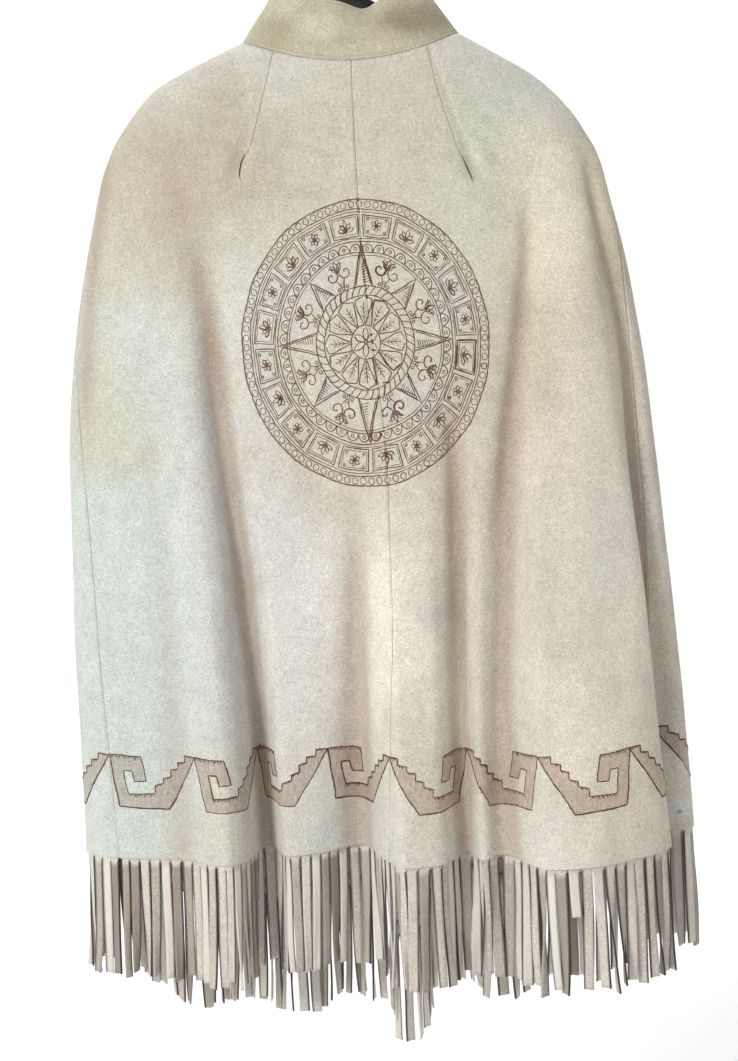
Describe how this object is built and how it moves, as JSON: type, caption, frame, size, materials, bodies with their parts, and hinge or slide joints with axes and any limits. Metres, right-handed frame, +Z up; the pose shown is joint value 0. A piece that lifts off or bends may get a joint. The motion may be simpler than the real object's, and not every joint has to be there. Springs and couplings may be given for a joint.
{
  "type": "fringed suede cape on a hanger",
  "caption": "Cream suede cape with a stand collar, burnt line ornament and a deep cut fringe, hung on a black coat hanger.",
  "frame": {"origin": "inside the top of the hanger's hook, where it bears on a rail", "axes": "+Z up, -Y towards the wearer's back, -X towards the wearer's left"},
  "size_m": [0.6112, 0.2328, 1.1527],
  "materials": {
    "suede": "soft cream suede, mottled, with burnt brown lines",
    "fringe": "soft cream suede, cut into strands",
    "collar": "soft khaki-cream suede, top-stitched",
    "hanger": "satin black",
    "hook": "bright bent wire"
  },
  "bodies": {
    "root": {"back_left": "suede", "back_right": "suede", "front_right": "suede", "front_left": "suede", "fringe_back_left": "fringe", "fringe_back_right": "fringe", "fringe_front_right": "fringe", "fringe_front_left": "fringe", "collar": "collar", "hanger": "hanger", "hook": "hook"}
  },
  "joints": []
}
